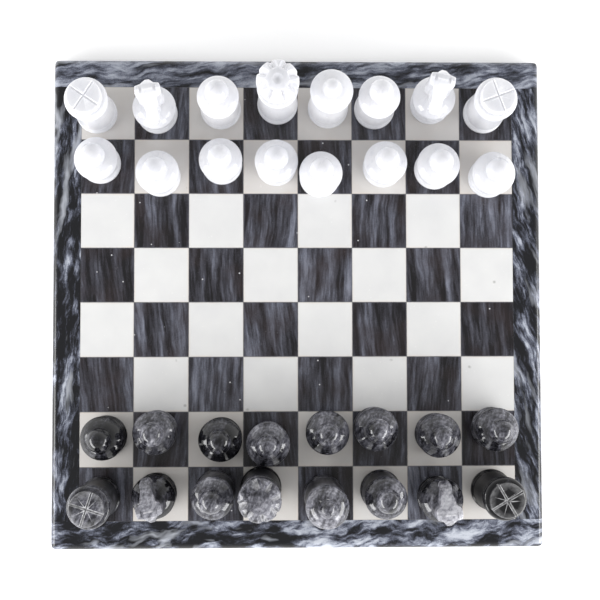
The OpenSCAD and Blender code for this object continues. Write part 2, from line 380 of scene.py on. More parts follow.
# Dark marble squares: dark and pale veins that run up the board, a little different in each square
darkTile = {
    "tilt": 0.26, "band": 4.2 * mm, "length": 9.0, "sway": 5.0 * mm,
    "shares": {"Bands": 0.50, "Streaks": 0.36, "Grain": 0.09}, "toneSpread": 0.14,
    "black": srgb(14, 12, 16), "dark": srgb(38, 37, 43), "middle": srgb(62, 62, 70),
    "pale": srgb(90, 92, 103), "light": srgb(124, 127, 140), "brown": srgb(45, 35, 35),
    "stops": {"black": 0.28, "dark": 0.39, "middle": 0.52, "pale": 0.64, "light": 0.82},
    "brownShare": 0.55, "rimShare": 0.5, "rimWidth": 0.9 * mm,
    "speck": srgb(225, 225, 228), "speckScale": 75.0, "speckShare": 0.8,
    "roughness": 0.24, "uneven": 0.12, "bump": 0.25, "bumpDepth": 0.05 * mm,
}
darkMarble, t, shader, place = startMaterial("darkMarble")
squares = useGroup(t, squareGroup, {"Side": tileSide, "Tilt": darkTile["tilt"]}, {"Vector": place})
veins = useGroup(
    t, veinGroup, {"Band": darkTile["band"], "Length": darkTile["length"], "Sway": darkTile["sway"]},
    {"Vector": squares.outputs["Vector"], "Turn": squares.outputs["Turn"],
     "Seed": maths(t, "MULTIPLY", squares.outputs["Random"], 90.0)},
)
tileTone = maths(t, "SUBTRACT", squares.outputs["Second"], 0.5)
mixed = maths(t, "ADD", mixVeins(t, veins, darkTile["shares"]),
              maths(t, "MULTIPLY", tileTone, darkTile["toneSpread"]))
colour = stoneRamp(t, mixed, darkTile)
brownShare = maths(t, "MULTIPLY", spread(t, veins.outputs["Clouds"], 0.4, 1.0), darkTile["brownShare"])
colour = blendColours(t, brownShare, colour, darkTile["brown"])
rim = spread(t, squares.outputs["Edge"], 0.2 * mm, darkTile["rimWidth"], darkTile["rimShare"], 0.0)
colour = blendColours(t, rim, colour, darkTile["pale"])
speckCells = put(t, "TexVoronoi", None, {"Scale": darkTile["speckScale"], "Randomness": 1.0})
wire(t, place, speckCells.inputs["Vector"])
speckShare = spread(t, speckCells.outputs["Distance"], 0.03, 0.05, darkTile["speckShare"], 0.0)
colour = blendColours(t, speckShare, colour, darkTile["speck"])
wire(t, colour, shader.inputs["Base Color"])
addPolish(t, shader, place, darkTile)

# Near-white squares: faint clouds, cream edges, rare grey flecks
lightTile = {
    "tilt": 3.0, "band": 9 * mm, "length": 2.0, "sway": 12 * mm,
    "white": srgb(219, 219, 218), "cloud": srgb(211, 211, 211),
    # the darker, creamier colour of the outer ranks is partly painted shade from the standing pieces
    "rankCreamAndShade": srgb(204, 199, 194), "rankShadeFrom": 2 * tileSide,
    "cream": srgb(214, 203, 192), "creamWidth": 2.0 * mm, "creamShare": 0.6,
    "fleck": srgb(150, 149, 146), "fleckScale": 42.0, "fleckShare": 0.7, "fleckEdge": 0.08,
    "roughness": 0.25, "uneven": 0.10, "bump": 0.25, "bumpDepth": 0.05 * mm,
}
lightMarble, t, shader, place = startMaterial("lightMarble")
squares = useGroup(t, squareGroup, {"Side": tileSide, "Tilt": lightTile["tilt"]}, {"Vector": place})
veins = useGroup(
    t, veinGroup, {"Band": lightTile["band"], "Length": lightTile["length"], "Sway": lightTile["sway"]},
    {"Vector": squares.outputs["Vector"], "Turn": squares.outputs["Turn"],
     "Seed": maths(t, "MULTIPLY", squares.outputs["Random"], 70.0)},
)
colour = blendColours(t, veins.outputs["Clouds"], lightTile["white"], lightTile["cloud"])
# the two outer ranks at each end, where the pieces stand, are painted darker and creamier: partly painted
# shade from the standing pieces, partly a creamier stone
rankParts = put(t, "SeparateXYZ")
wire(t, place, rankParts.inputs[0])
fromMiddle = maths(t, "ABSOLUTE", rankParts.outputs["Y"])
shadedRanks = maths(t, "GREATER_THAN", fromMiddle, lightTile["rankShadeFrom"])
rankShadeShare = maths(t, "MULTIPLY", shadedRanks, spread(t, veins.outputs["Bands"], 0.0, 1.0, 0.5, 0.9))
colour = blendColours(t, rankShadeShare, colour, lightTile["rankCreamAndShade"])
edge = squares.outputs["Edge"]
creamEdge = spread(t, edge, 0.3 * mm, lightTile["creamWidth"], lightTile["creamShare"], 0.0)
creamShare = maths(t, "MULTIPLY", creamEdge, veins.outputs["Bands"])
colour = blendColours(t, creamShare, colour, lightTile["cream"])
fleckCells = put(t, "TexVoronoi", None, {"Scale": lightTile["fleckScale"], "Randomness": 1.0})
wire(t, place, fleckCells.inputs["Vector"])
fleckNoise = put(t, "TexNoise", None, {"Scale": 420.0, "Detail": 2.0})
wire(t, place, fleckNoise.inputs["Vector"])
raggedEdge = maths(t, "MULTIPLY", fleckNoise.outputs["Fac"], lightTile["fleckEdge"])
fleckSize = maths(t, "ADD", fleckCells.outputs["Distance"], raggedEdge)
fleckShare = spread(t, fleckSize, 0.06, 0.11, lightTile["fleckShare"], 0.0)
colour = blendColours(t, fleckShare, colour, lightTile["fleck"])
wire(t, colour, shader.inputs["Base Color"])
addPolish(t, shader, place, lightTile)

# Filler in the joints, matt and slightly dirty
filler = {"cream": srgb(150, 148, 146), "dirt": srgb(112, 110, 110)}
jointFiller, t, shader, place = startMaterial("jointFiller")
stain = put(t, "TexNoise", None, {"Scale": 130.0, "Detail": 4.0})
wire(t, place, stain.inputs["Vector"])
colour = blendColours(t, spread(t, stain.outputs["Fac"], 0.35, 0.65), filler["cream"], filler["dirt"])
wire(t, colour, shader.inputs["Base Color"])
wire(t, spread(t, stain.outputs["Fac"], 0.3, 0.7, 0.65, 0.85), shader.inputs["Roughness"])
addBump(t, shader, stain.outputs["Fac"], 0.4, 0.2 * mm)

# Border strips: long dark veins with pale lenses; each strip was cut its own way
borderLooks = {
    "border_far": {
        "turn": 1.46, "band": 3.7, "length": 5.0, "sway": 18.0, "seed": 3.0, "lift": 0.05,
        "lens": 0.5, "flow": 0.0, "contrast": 1.1,
    },
    "border_near": {
        "turn": 1.42, "band": 4.6, "length": 3.2, "sway": 26.0, "seed": 11.0, "lift": -0.07,
        "lens": 0.8, "flow": 0.20, "contrast": 1.5,
    },
    "border_left": {
        "turn": 0.10, "band": 2.9, "length": 5.0, "sway": 13.0, "seed": 23.0, "lift": -0.13,
        "lens": 0.6, "flow": 0.0, "contrast": 1.5,
    },
    "border_right": {
        "turn": -0.30, "band": 3.2, "length": 5.0, "sway": 14.0, "seed": 31.0, "lift": -0.05,
        "lens": 0.4, "flow": 0.0, "contrast": 1.4,
    },
}
borderStone = {
    "shares": {"Bands": 0.46, "Streaks": 0.30, "Clouds": 0.18, "Grain": 0.08},
    "black": srgb(12, 13, 18), "dark": srgb(36, 38, 46), "middle": srgb(64, 67, 78),
    "pale": srgb(100, 104, 118), "light": srgb(160, 165, 177), "white": srgb(192, 196, 205),
    "stops": {"black": 0.33, "dark": 0.42, "middle": 0.51, "pale": 0.61, "light": 0.77, "white": 0.95},
    "even": 0.48,                        # the value that contrast leaves as it is
    "flowFrom": -80 * mm, "flowTo": 120 * mm,
    "roughness": 0.22, "uneven": 0.12, "bump": 0.25, "bumpDepth": 0.05 * mm,
}


def borderMaterial(name, look):
    made, tree, shader, place = startMaterial(name.replace("border_", "borderMarble_"))
    veins = useGroup(
        tree, veinGroup,
        {"Turn": look["turn"], "Band": look["band"] * mm, "Length": look["length"],
         "Sway": look["sway"] * mm, "Seed": look["seed"]},
        {"Vector": place},
    )
    mixed = mixVeins(tree, veins, borderStone["shares"])
    # pale clouds may grow towards the strip's right end
    ends = put(tree, "SeparateXYZ")
    wire(tree, place, ends.inputs[0])
    flow = spread(tree, ends.outputs["X"], borderStone["flowFrom"], borderStone["flowTo"], 0.0, look["flow"])
    mixed = maths(tree, "SUBTRACT", mixed, borderStone["even"])
    mixed = maths(tree, "MULTIPLY", mixed, look["contrast"])
    mixed = maths(tree, "ADD", mixed, maths(tree, "ADD", flow, look["lift"] + borderStone["even"]))
    colour = stoneRamp(tree, mixed, borderStone)
    lens = maths(tree, "MULTIPLY", veins.outputs["Lenses"], look["lens"])
    colour = blendColours(tree, lens, colour, borderStone["white"])
    wire(tree, colour, shader.inputs["Base Color"])
    addPolish(tree, shader, place, borderStone)
    return made


# Sawn edge of the slab under the squares, and its felt
slabStone = {
    "band": 5 * mm, "length": 8.0, "sway": 8 * mm, "seed": 47.0,
    "dark": srgb(70, 72, 80), "pale": srgb(120, 123, 133),
    "roughness": 0.42, "uneven": 0.2, "bump": 0.5, "bumpDepth": 0.1 * mm,
}
slabMarble, t, shader, place = startMaterial("slabMarble")
veins = useGroup(
    t, veinGroup,
    {"Band": slabStone["band"], "Length": slabStone["length"], "Sway": slabStone["sway"],
     "Seed": slabStone["seed"]},
    {"Vector": place},
)
colour = blendColours(t, veins.outputs["Bands"], slabStone["dark"], slabStone["pale"])
wire(t, colour, shader.inputs["Base Color"])
addPolish(t, shader, place, slabStone)

feltCloth = {"deep": srgb(20, 44, 34), "lit": srgb(44, 78, 60)}
feltFinish, t, shader, place = startMaterial("feltBacking")
fibres = put(t, "TexNoise", None, {"Scale": 1400.0, "Detail": 4.0, "Distortion": 1.2})
wire(t, place, fibres.inputs["Vector"])
patches = put(t, "TexNoise", None, {"Scale": 35.0, "Detail": 3.0})
wire(t, place, patches.inputs["Vector"])
nap = maths(t, "ADD", maths(t, "MULTIPLY", fibres.outputs["Fac"], 0.7),
            maths(t, "MULTIPLY", patches.outputs["Fac"], 0.3))
colour = blendColours(t, spread(t, nap, 0.35, 0.65), feltCloth["deep"], feltCloth["lit"])
wire(t, colour, shader.inputs["Base Color"])
wire(t, spread(t, patches.outputs["Fac"], 0.3, 0.7, 0.88, 0.98), shader.inputs["Roughness"])
shader.inputs["Sheen Weight"].default_value = 0.4
addBump(t, shader, fibres.outputs["Fac"], 0.6, 0.2 * mm)

# White onyx of one army: polished all over, with faint clouds, paler edges that are partly ground stone and
# partly a painted highlight, and a painted glow that lifts its shade
whiteOnyx = {
    "white": srgb(205, 205, 208), "cloud": srgb(196, 197, 202), "vein": srgb(183, 184, 191),
    "veinShare": 0.6, "edge": srgb(232, 232, 234),
    "roughness": {"polished": 0.14, "sawn": 0.45, "wornAndLit": 0.35}, "honed": 0.1,
    "glow": {"polished": 0.25, "sawn": 0.28, "wornAndLit": 0.65},  # painted glow: the stone gives out light in its own colour, which lifts its shade, most in the cuts
    "underWeight": 0.6, "underScale": 4.0 * mm, "underRadius": (1.0, 0.97, 0.94),
}
# Grey veined marble of the other army
greyMarble = {
    "shares": {"Bands": 0.30, "Streaks": 0.24, "Clouds": 0.20}, "grainShare": 0.24, "ringShare": 0.04,
    "black": srgb(12, 12, 15), "dark": srgb(38, 38, 43), "middle": srgb(76, 76, 83),
    "pale": srgb(124, 124, 132), "light": srgb(188, 188, 194), "edge": srgb(228, 228, 230),
    "stops": {"black": 0.30, "dark": 0.42, "middle": 0.55, "pale": 0.69, "light": 0.96},
    # the quarter tones are a painted sheen on the sawn rook tops
    "scratchShare": 0.34, "quarterSheen": (-0.24, -0.08),
    "roughness": {"polished": 0.10, "sawn": 0.42, "wornAndLit": 0.30}, "honed": 0.34,
}
# What the stone of both armies shares
pieceStone = {
    "veins": {"Turn": 0.45, "Band": 3.6 * mm, "Length": 2.8, "Sway": 14 * mm, "Seed": 17.0},
    "uneven": 0.06, "rings": 3600.0, "ringDepth": 0.25, "sawPitch": 170.0, "sawSlant": 0.35,
    "bump": {"polished": 0.15, "sawn": 0.5, "wornAndLit": 0.15}, "bumpDepth": 0.06 * mm,
    "edgeSheenShare": 0.55, "edgeRoughness": 0.15,
}


# straight saw marks that change direction from one quarter of a rook's top to the next
def sawMarks(tree, pitch):
    flat = put(tree, "UVMap")
    flat.uv_map = "plan"
    parts = put(tree, "SeparateXYZ")
    wire(tree, flat.outputs[0], parts.inputs[0])
    u = maths(tree, "SUBTRACT", parts.outputs["X"], 0.5)
    v = maths(tree, "SUBTRACT", parts.outputs["Y"], 0.5)
    quarter = maths(tree, "GREATER_THAN", maths(tree, "MULTIPLY", u, v), 0.0)
    rising = maths(tree, "ADD", u, maths(tree, "MULTIPLY", v, pieceStone["sawSlant"]))
    falling = maths(tree, "SUBTRACT", v, maths(tree, "MULTIPLY", u, pieceStone["sawSlant"]))
    swapped = maths(tree, "MULTIPLY", quarter, maths(tree, "SUBTRACT", rising, falling))
    travel = maths(tree, "ADD", falling, swapped)
    wobble = put(tree, "TexNoise", None, {"Scale": 14.0, "Detail": 2.0})
    wire(tree, flat.outputs[0], wobble.inputs["Vector"])
    waver = maths(tree, "MULTIPLY", wobble.outputs["Fac"], 7.0)
    phase = maths(tree, "ADD", maths(tree, "MULTIPLY", travel, pitch), waver)
    wave = maths(tree, "MULTIPLY", maths(tree, "ADD", maths(tree, "SINE", phase), 1.0), 0.5)
    return wave, quarter


# faint rings left by the lathe, uneven in depth
def latheRings(tree, place, veins, mottle):
    parts = put(tree, "SeparateXYZ")
    wire(tree, place, parts.inputs[0])
    wobble = maths(tree, "MULTIPLY", veins.outputs["Clouds"], 3.0)
    phase = maths(tree, "ADD", maths(tree, "MULTIPLY", parts.outputs["Z"], pieceStone["rings"]), wobble)
    depth = spread(tree, mottle.outputs["Fac"], 0.2, 0.8, 0.2, 1.0)
    return maths(tree, "MULTIPLY", maths(tree, "SINE", phase), depth)


def onyxColour(tree, shader, look, kind, veins):
    colour = blendColours(tree, veins.outputs["Clouds"], look["white"], look["cloud"])
    share = maths(tree, "MULTIPLY", spread(tree, veins.outputs["Streaks"], 0.6, 1.0), look["veinShare"])
    colour = blendColours(tree, share, colour, look["vein"])
    shader.inputs["Subsurface Weight"].default_value = look["underWeight"]
    shader.inputs["Subsurface Radius"].default_value = look["underRadius"]
    shader.inputs["Subsurface Scale"].default_value = look["underScale"]
    # the white stone is painted glowing in its own colour, a painted light that lifts its shaded sides and
    # hollows
    shader.inputs["Emission Strength"].default_value = look["glow"][kind]
    wire(tree, colour, shader.inputs["Emission Color"])
    return colour


def stoneMaterial(name, army, kind):
    made, tree, shader, place = startMaterial(name)
    look = whiteOnyx if army == "white" else greyMarble
    veins = useGroup(tree, veinGroup, pieceStone["veins"], {"Vector": place})
    mottle = put(tree, "TexNoise", None, {"Scale": 420.0, "Detail": 5.0, "Roughness": 0.7})
    wire(tree, place, mottle.inputs["Vector"])
    ends = {"Roughness": look["roughness"][kind], "Unevenness": pieceStone["uneven"]}
    polish = useGroup(tree, polishGroup, ends, {"Vector": place})
    ring = latheRings(tree, place, veins, mottle)
    ringHeight = maths(tree, "MULTIPLY", ring, pieceStone["ringDepth"])
    height = maths(tree, "ADD", polish.outputs["Height"], ringHeight)
    if kind == "sawn":
        wave, quarter = sawMarks(tree, pieceStone["sawPitch"])
        height = maths(tree, "ADD", height, wave)
    if army == "white":
        colour = onyxColour(tree, shader, look, kind, veins)
    else:
        grain = spread(tree, mottle.outputs["Fac"], 0.3, 0.7)
        mixed = mixVeins(tree, veins, look["shares"])
        mixed = maths(tree, "ADD", mixed, maths(tree, "MULTIPLY", grain, look["grainShare"]))
        mixed = maths(tree, "ADD", mixed, maths(tree, "MULTIPLY", ring, look["ringShare"]))
        tone = put(tree, "Attribute", {"attribute_name": "tone"})
        mixed = maths(tree, "ADD", mixed, tone.outputs["Fac"])
        if kind == "sawn":
            scratch = maths(tree, "MULTIPLY", maths(tree, "POWER", wave, 5.0), look["scratchShare"])
            mixed = maths(tree, "ADD", mixed, scratch)
            # the sawn top is painted darker, every other quarter less so: a painted sheen for saw marks that
            # catch the light differently
            mixed = maths(tree, "ADD", mixed, spread(tree, quarter, 0.0, 1.0, *look["quarterSheen"]))
        colour = stoneRamp(tree, mixed, look)
    # upright sides are honed, not polished
    facing = put(tree, "SeparateXYZ")
    wire(tree, put(tree, "NewGeometry").outputs["Normal"], facing.inputs[0])
    honed = spread(tree, facing.outputs["Z"], 0.05, 0.45, look["honed"], 0.0)
    roughness = maths(tree, "ADD", polish.outputs["Roughness"], honed)
    if kind == "polished":
        # sharp edges are painted paler and duller: partly ground stone, partly a painted highlight
        edges = useGroup(tree, edgeSheenGroup, {"Low": 0.53, "High": 0.62}, {"Vector": place})
        edgeSheenShare = maths(tree, "MULTIPLY", edges.outputs["Mask"], pieceStone["edgeSheenShare"])
        colour = blendColours(tree, edgeSheenShare, colour, look["edge"])
        duller = maths(tree, "MULTIPLY", edges.outputs["Mask"], pieceStone["edgeRoughness"])
        roughness = maths(tree, "ADD", roughness, duller)
    if kind == "wornAndLit":
        # the cuts and eased edges are painted pale: partly worn ground stone, partly a painted highlight
        wornLitShare = spread(tree, mottle.outputs["Fac"], 0.3, 0.7, 0.5, 0.9)
        colour = blendColours(tree, wornLitShare, colour, look["edge"])
    wire(tree, colour, shader.inputs["Base Color"])
    wire(tree, roughness, shader.inputs["Roughness"])
    addBump(tree, shader, height, pieceStone["bump"][kind], pieceStone["bumpDepth"])
    return made


# polished all over, sawn on the tops, and pale in the cuts and on eased edges: partly worn ground stone,
# partly a painted highlight, with a stronger painted glow on the white army
kinds = ("polished", "sawn", "wornAndLit")
sawn = kinds.index("sawn")
wornAndLit = kinds.index("wornAndLit")
finishes = {
    army: [stoneMaterial(army + kind.capitalize(), army, kind) for kind in kinds]
    for army in ("white", "grey")
}


def paint(name, material):
    node = nodes[name]
    node.data.materials.clear()
    node.data.materials.append(material)


paint("felt_backing", feltFinish)
paint("base_slab", slabMarble)
paint("joint_resin", jointFiller)
paint("dark_squares", darkMarble)
paint("light_squares", lightMarble)
for name, look in borderLooks.items():
    paint(name, borderMaterial(name, look))
print("board painted")

lathe = {"sides": 72, "arcSteps": 10}


def arc(x, z, r, start, end):
    steps = lathe["arcSteps"]
    angles = [radians(start + (end - start) * i / steps) for i in range(steps + 1)]
    return [(x + r * cos(a), z + r * sin(a)) for a in angles]


def bead(r, z, thick):
    return arc(r - thick / 2, z, thick / 2, -90, 90)


def waist(r, low, high, dip):
    hollow = (((high - low) / 2) ** 2 + dip * dip) / (2 * dip)
    half = degrees(asin((high - low) / 2 / hollow))
    return arc(r - dip + hollow, (low + high) / 2, hollow, 180 + half, 180 - half)


def bulgeSink(r, thick, dome):
    return sqrt((dome - thick) ** 2 - (r - thick) ** 2)


def bulge(r, z, thick, dome, end):
    meet = degrees(acos((r - thick) / (dome - thick)))
    sink = bulgeSink(r, thick, dome)
    return arc(r - thick, z, thick, -90, meet) + arc(0, z - sink, dome, meet, degrees(acos(end / dome)))


def bulgeEnd(r, z, thick, dome, end):
    return z - bulgeSink(r, thick, dome) + sqrt(dome * dome - end * end)


def ball(r, neck, top):
    return arc(0, top - r, r, -degrees(acos(neck / r)), 90)


# The foot and the body that all pieces share, in millimetres
footR = 15.75
footTop = 7.6
bodyR = 15.1
capThick = 3.4
capDome = 20
beadThick = 2.4
footEase = 0.8

foot = [(0, 0), (footR - footEase, 0), (footR, footEase)] + arc(footR - 1.5, 3, 1.5, 0, 90)
foot += [(footR - 2.6, 4.6)] + bead(footR - 0.6, 5.9, beadThick) + [(footR - 2.2, footTop)]


def body(top, dip):
    lower = bead(bodyR + 0.3, footTop + 1.5, beadThick) + waist(bodyR, footTop + 3, top - 3, dip)
    return lower + bead(bodyR + 0.2, top - 1.6, beadThick) + [(bodyR - 1.7, top)]


def turnOnLathe(name, outline):
    bpy.ops.object.select_all(action="DESELECT")
    bpy.ops.mesh.primitive_plane_add(size=0.01)
    piece = bpy.context.object
    piece.name = name
    bpy.ops.object.mode_set(mode="EDIT")
    bpy.ops.mesh.select_all(action="SELECT")
    bpy.ops.mesh.merge(type="CENTER")
    last = (0, 0)
    for number, (r, z) in enumerate(outline):
        step = ((r - last[0]) * mm, 0, (z - last[1]) * mm)
        if number == 0:
            bpy.ops.transform.translate(value=step)
        else:
            bpy.ops.mesh.extrude_region_move(TRANSFORM_OT_translate={"value": step})
        last = (r, z)
    bpy.ops.mesh.select_all(action="SELECT")
    bpy.ops.mesh.spin(steps=lathe["sides"], angle=2 * pi, center=(0, 0, 0), axis=(0, 0, 1))
    bpy.ops.mesh.select_all(action="SELECT")
    bpy.ops.mesh.remove_doubles(threshold=0.001 * mm)
    bpy.ops.mesh.select_all(action="SELECT")
    bpy.ops.mesh.normals_make_consistent(inside=False)
    bpy.ops.object.mode_set(mode="OBJECT")
    return piece


def cutWith(piece, cutter, operation="DIFFERENCE"):
    bpy.ops.object.select_all(action="DESELECT")
    bpy.context.view_layer.objects.active = piece
    piece.select_set(True)
    bpy.ops.object.modifier_add(type="BOOLEAN")
    tool = piece.modifiers[-1]
    tool.operation = operation
    tool.solver = "EXACT"
    tool.object = cutter
    bpy.ops.object.modifier_apply(modifier=tool.name)
    bpy.data.objects.remove(cutter)


def sawBlade(size, place, turn=(0, 0, 0)):
    bpy.ops.object.select_all(action="DESELECT")
    bpy.ops.mesh.primitive_cube_add(
        size=1, location=[v * mm for v in place], rotation=[radians(a) for a in turn],
    )
    blade = bpy.context.object
    blade.scale = [v * mm for v in size]
    bpy.ops.object.transform_apply(location=True, rotation=True, scale=True)
    return blade


def drill(radius, place, depth):
    bpy.ops.object.select_all(action="DESELECT")
    bpy.ops.mesh.primitive_cylinder_add(
        vertices=24, radius=radius * mm, depth=depth * mm,
        location=[v * mm for v in place], rotation=(0, radians(90), 0),
    )
    bit = bpy.context.object
    bpy.ops.object.transform_apply(location=True, rotation=True, scale=True)
    return bit


def scallopCutter(radius, place, height):
    bpy.ops.object.select_all(action="DESELECT")
    bpy.ops.mesh.primitive_cylinder_add(
        vertices=32, radius=radius * mm, depth=height * mm, location=[v * mm for v in place],
    )
    cutter = bpy.context.object
    bpy.ops.object.transform_apply(location=True, rotation=True, scale=True)
    return cutter


def easeEdges(piece, width, angle):
    bpy.ops.object.select_all(action="DESELECT")
    bpy.context.view_layer.objects.active = piece
    piece.select_set(True)
    bpy.ops.object.modifier_add(type="BEVEL")
    tool = piece.modifiers[-1]
    tool.width = width * mm
    tool.segments = 3
    tool.limit_method = "ANGLE"
    tool.angle_limit = radians(angle)
    tool.material = wornAndLit
    bpy.ops.object.modifier_apply(modifier=tool.name)


# how far a point lies from the nearest of several lines through the middle, spacing degrees apart
def fromSpoke(x, y, spacing):
    angle = degrees(atan2(y, x)) % spacing
    nearest = min(angle, spacing - angle)
    return hypot(x, y) * sin(radians(min(nearest, 90)))


def markFaces(piece, index, isMarked):
    for face in piece.data.polygons:
        x, y, z = face.center / mm
        if isMarked(x, y, z, face.normal.z):
            face.material_index = index


# the flat faces of one finish become one face, without the lathe's spokes
def joinFlat(piece, index):
    bpy.ops.object.select_all(action="DESELECT")
    bpy.context.view_layer.objects.active = piece
    piece.select_set(True)
    bpy.ops.object.mode_set(mode="EDIT")
    bpy.ops.mesh.select_mode(type="FACE")
    bpy.ops.mesh.select_all(action="DESELECT")
    bpy.ops.object.mode_set(mode="OBJECT")
    for face in piece.data.polygons:
        face.select = face.material_index == index
    bpy.ops.object.mode_set(mode="EDIT")
    bpy.ops.mesh.dissolve_limited(angle_limit=radians(1))
    bpy.ops.mesh.select_mode(type="VERT")
    bpy.ops.object.mode_set(mode="OBJECT")


def smoothOver(piece, angle=32):
    bpy.ops.object.select_all(action="DESELECT")
    bpy.context.view_layer.objects.active = piece
    piece.select_set(True)
    bpy.ops.object.shade_smooth_by_angle(angle=radians(angle))


# The pawn and the knight stand on the same low base
lowBase = {"rimZ": 22.5, "rimR": 16.5}


def lowBaseOutline(end):
    cap = bulge(lowBase["rimR"], lowBase["rimZ"], capThick, capDome, end)
    return foot + body(lowBase["rimZ"] - 4, 0.3) + cap


pawnLook = {"top": 47, "ball": 9.2, "neck": 6, "domeEnd": 7}
collar = bulgeEnd(lowBase["rimR"], lowBase["rimZ"], capThick, capDome, pawnLook["domeEnd"]) + 0.6
outline = lowBaseOutline(pawnLook["domeEnd"]) + bead(7.8, collar, 1.2)
pawn = turnOnLathe("pawnModel", outline + ball(pawnLook["ball"], pawnLook["neck"], pawnLook["top"]))

bishopLook = {"top": 68, "ball": 9, "neck": 5.5, "rim": 15.6, "rimDown": 25, "domeEnd": 6.6}
rim = bishopLook["top"] - bishopLook["rimDown"]
outline = foot + body(rim - 4, 0.5)
outline += bulge(bishopLook["rim"], rim, capThick, capDome, bishopLook["domeEnd"])
collar = bulgeEnd(bishopLook["rim"], rim, capThick, capDome, bishopLook["domeEnd"]) + 0.6
outline += bead(bishopLook["domeEnd"] + 0.8, collar, 1.2)
outline += ball(bishopLook["ball"], bishopLook["neck"], bishopLook["top"])
bishop = turnOnLathe("bishopModel", outline)

queenLook = {
    "top": 73, "button": 6.5, "rim": 15.8, "rimDown": 15, "rimThick": 3.2, "dome": 18.5, "domeEnd": 6.8,
}
rim = queenLook["top"] - queenLook["rimDown"]
cap = (queenLook["rim"], rim, queenLook["rimThick"], queenLook["dome"], queenLook["domeEnd"])
outline = foot + body(rim - 4, 0.5) + bulge(*cap)
outline += bead(queenLook["domeEnd"] + 0.4, bulgeEnd(*cap) + 0.5, 1)
outline += arc(0, queenLook["top"] - queenLook["button"], queenLook["button"], 12, 90)
queen = turnOnLathe("queenModel", outline)

# The king's crown is notched into eight lobes, each rounded off at the rim
kingLook = {
    "top": 81, "rim": 15.6, "rimThick": 4, "dome": 22, "hollowR": 4, "hollowDeep": 1.6,
    "lobes": 8, "notchLong": 14, "notchWide": 6, "notchOut": 8.5, "notchUp": 6.7, "tilt": 38,
    "notchFrom": 7.75, "notchHalf": 0.75, "scallop": 2.2, "scallopOut": 17,
}
rim = kingLook["top"] - kingLook["dome"] + 0.4
rim += bulgeSink(kingLook["rim"], kingLook["rimThick"], kingLook["dome"])
outline = foot + body(rim - 17, 0.5) + waist(bodyR - 0.2, rim - 16, rim - 7, 0.4) + [(bodyR - 0.5, rim - 5)]
outline += bulge(kingLook["rim"], rim, kingLook["rimThick"], kingLook["dome"], kingLook["hollowR"])
outline += [(0, kingLook["top"] - kingLook["hollowDeep"])]
king = turnOnLathe("kingModel", outline)
spacing = 360 / kingLook["lobes"]
tilt = radians(kingLook["tilt"])
notchOut = kingLook["notchOut"] + kingLook["notchLong"] / 2 * cos(tilt) + sin(tilt)
notchUp = rim + kingLook["notchUp"] - kingLook["notchLong"] / 2 * sin(tilt) + cos(tilt)
for i in range(kingLook["lobes"]):
    turn = radians(spacing * i)
    cutWith(king, sawBlade(
        (kingLook["notchLong"], kingLook["notchWide"], kingLook["notchWide"]),
        (notchOut * cos(turn), notchOut * sin(turn), notchUp),
        (45, kingLook["tilt"], spacing * i),
    ))
    scallopAt = (kingLook["scallopOut"] * cos(turn), kingLook["scallopOut"] * sin(turn), rim)
    cutWith(king, scallopCutter(kingLook["scallop"], scallopAt, 20))


def inNotch(x, y, z, up):
    isOut = z > rim - 4 and hypot(x, y) > kingLook["notchFrom"]
    return isOut and fromSpoke(x, y, spacing) < kingLook["notchHalf"]


markFaces(king, wornAndLit, inNotch)
markFaces(king, sawn, lambda x, y, z, up: z > kingLook["top"] - 2.2 and hypot(x, y) < 4.12)

# The rook's top is quartered by two cuts, whose edges are eased
rookLook = {
    "top": 60, "topR": 12.8, "chamfer": (0.6, 0.8), "collarR": 15.9, "collarThick": 6.4, "collarDown": 10.6,
    "kerf": 1.0, "deep": 1.0, "ease": 0.6, "skin": 0.1,
}
topZ = rookLook["top"]
collar = topZ - rookLook["collarDown"]
outline = foot + body(collar - 4, 0.4) + bead(rookLook["collarR"], collar, rookLook["collarThick"])
outline += [(rookLook["topR"], collar + 4), (rookLook["topR"], topZ - rookLook["chamfer"][1])]
outline += [(rookLook["topR"] - rookLook["chamfer"][0], topZ), (0, topZ)]
rook = turnOnLathe("rookModel", outline)
sunk = rookLook["kerf"] / 2 + rookLook["ease"]
for turn in (0, 90):
    cutWith(rook, sawBlade((30, rookLook["kerf"], 4), (0, 0, topZ + 2 - rookLook["deep"]), (0, 0, turn)))
    cutWith(rook, sawBlade((30, 4, 4), (0, 0, topZ - sunk + sqrt(8)), (45, 0, turn)))
cutBottom = topZ - rookLook["deep"] - rookLook["skin"]
halfCut = rookLook["kerf"] / 2 + 0.03
markFaces(rook, wornAndLit, lambda x, y, z, up: z > cutBottom and fromSpoke(x, y, 90) < halfCut)
markFaces(rook, wornAndLit, lambda x, y, z, up: z > topZ - 1 and up < 0.9)
markFaces(rook, sawn, lambda x, y, z, up: z > topZ - rookLook["skin"] and up > 0.9)
joinFlat(rook, sawn)
print("turned pieces made")

# The knight's head is cut from a slab by its side and its plan, then carved
# places of the carvings are measured from the middle of the head and down from its top
knightLook = {
    "top": 61, "ease": 0.7,
    "ear": (2.4, 4.8, 6), "earAt": (5.4, -5.2, 1.9), "earLean": 12,
    "eyeR": 1.5, "eyeAt": (6.6, 3.4, -9), "nostrilR": 0.6, "nostrilAt": (4.4, 14.6, -15.6),
    "mouth": (12, 9, 0.8), "mouthAt": (15.3, -18.5), "mouthSlope": 14,
    "maneCuts": 5, "maneBlade": (14, 4, 0.9), "maneAt": -14.6, "maneFrom": 38, "maneStep": 4.2,
    "maneSlope": -28,
}
top = knightLook["top"]
knightSide = [
    (-9, 26), (-12.5, 34), (-14.5, 44), (-14, 52), (-9, top - 1.4), (-5, top),
    (-1, top - 2), (5, top - 6), (15, top - 13.6), (17.6, top - 17),
    (16.8, top - 22), (12, top - 25), (5, top - 21.5), (3, top - 25), (5, 32), (8, 26),
]
knightPlan = [
    (0, -14.6), (1.4, -14.4), (5, -9.6), (9, -8.4), (9.4, -2), (8, 0), (5.6, 1),
    (5.2, 5), (4, 9), (4.4, 14), (2.8, 17.4), (0, 18),
]


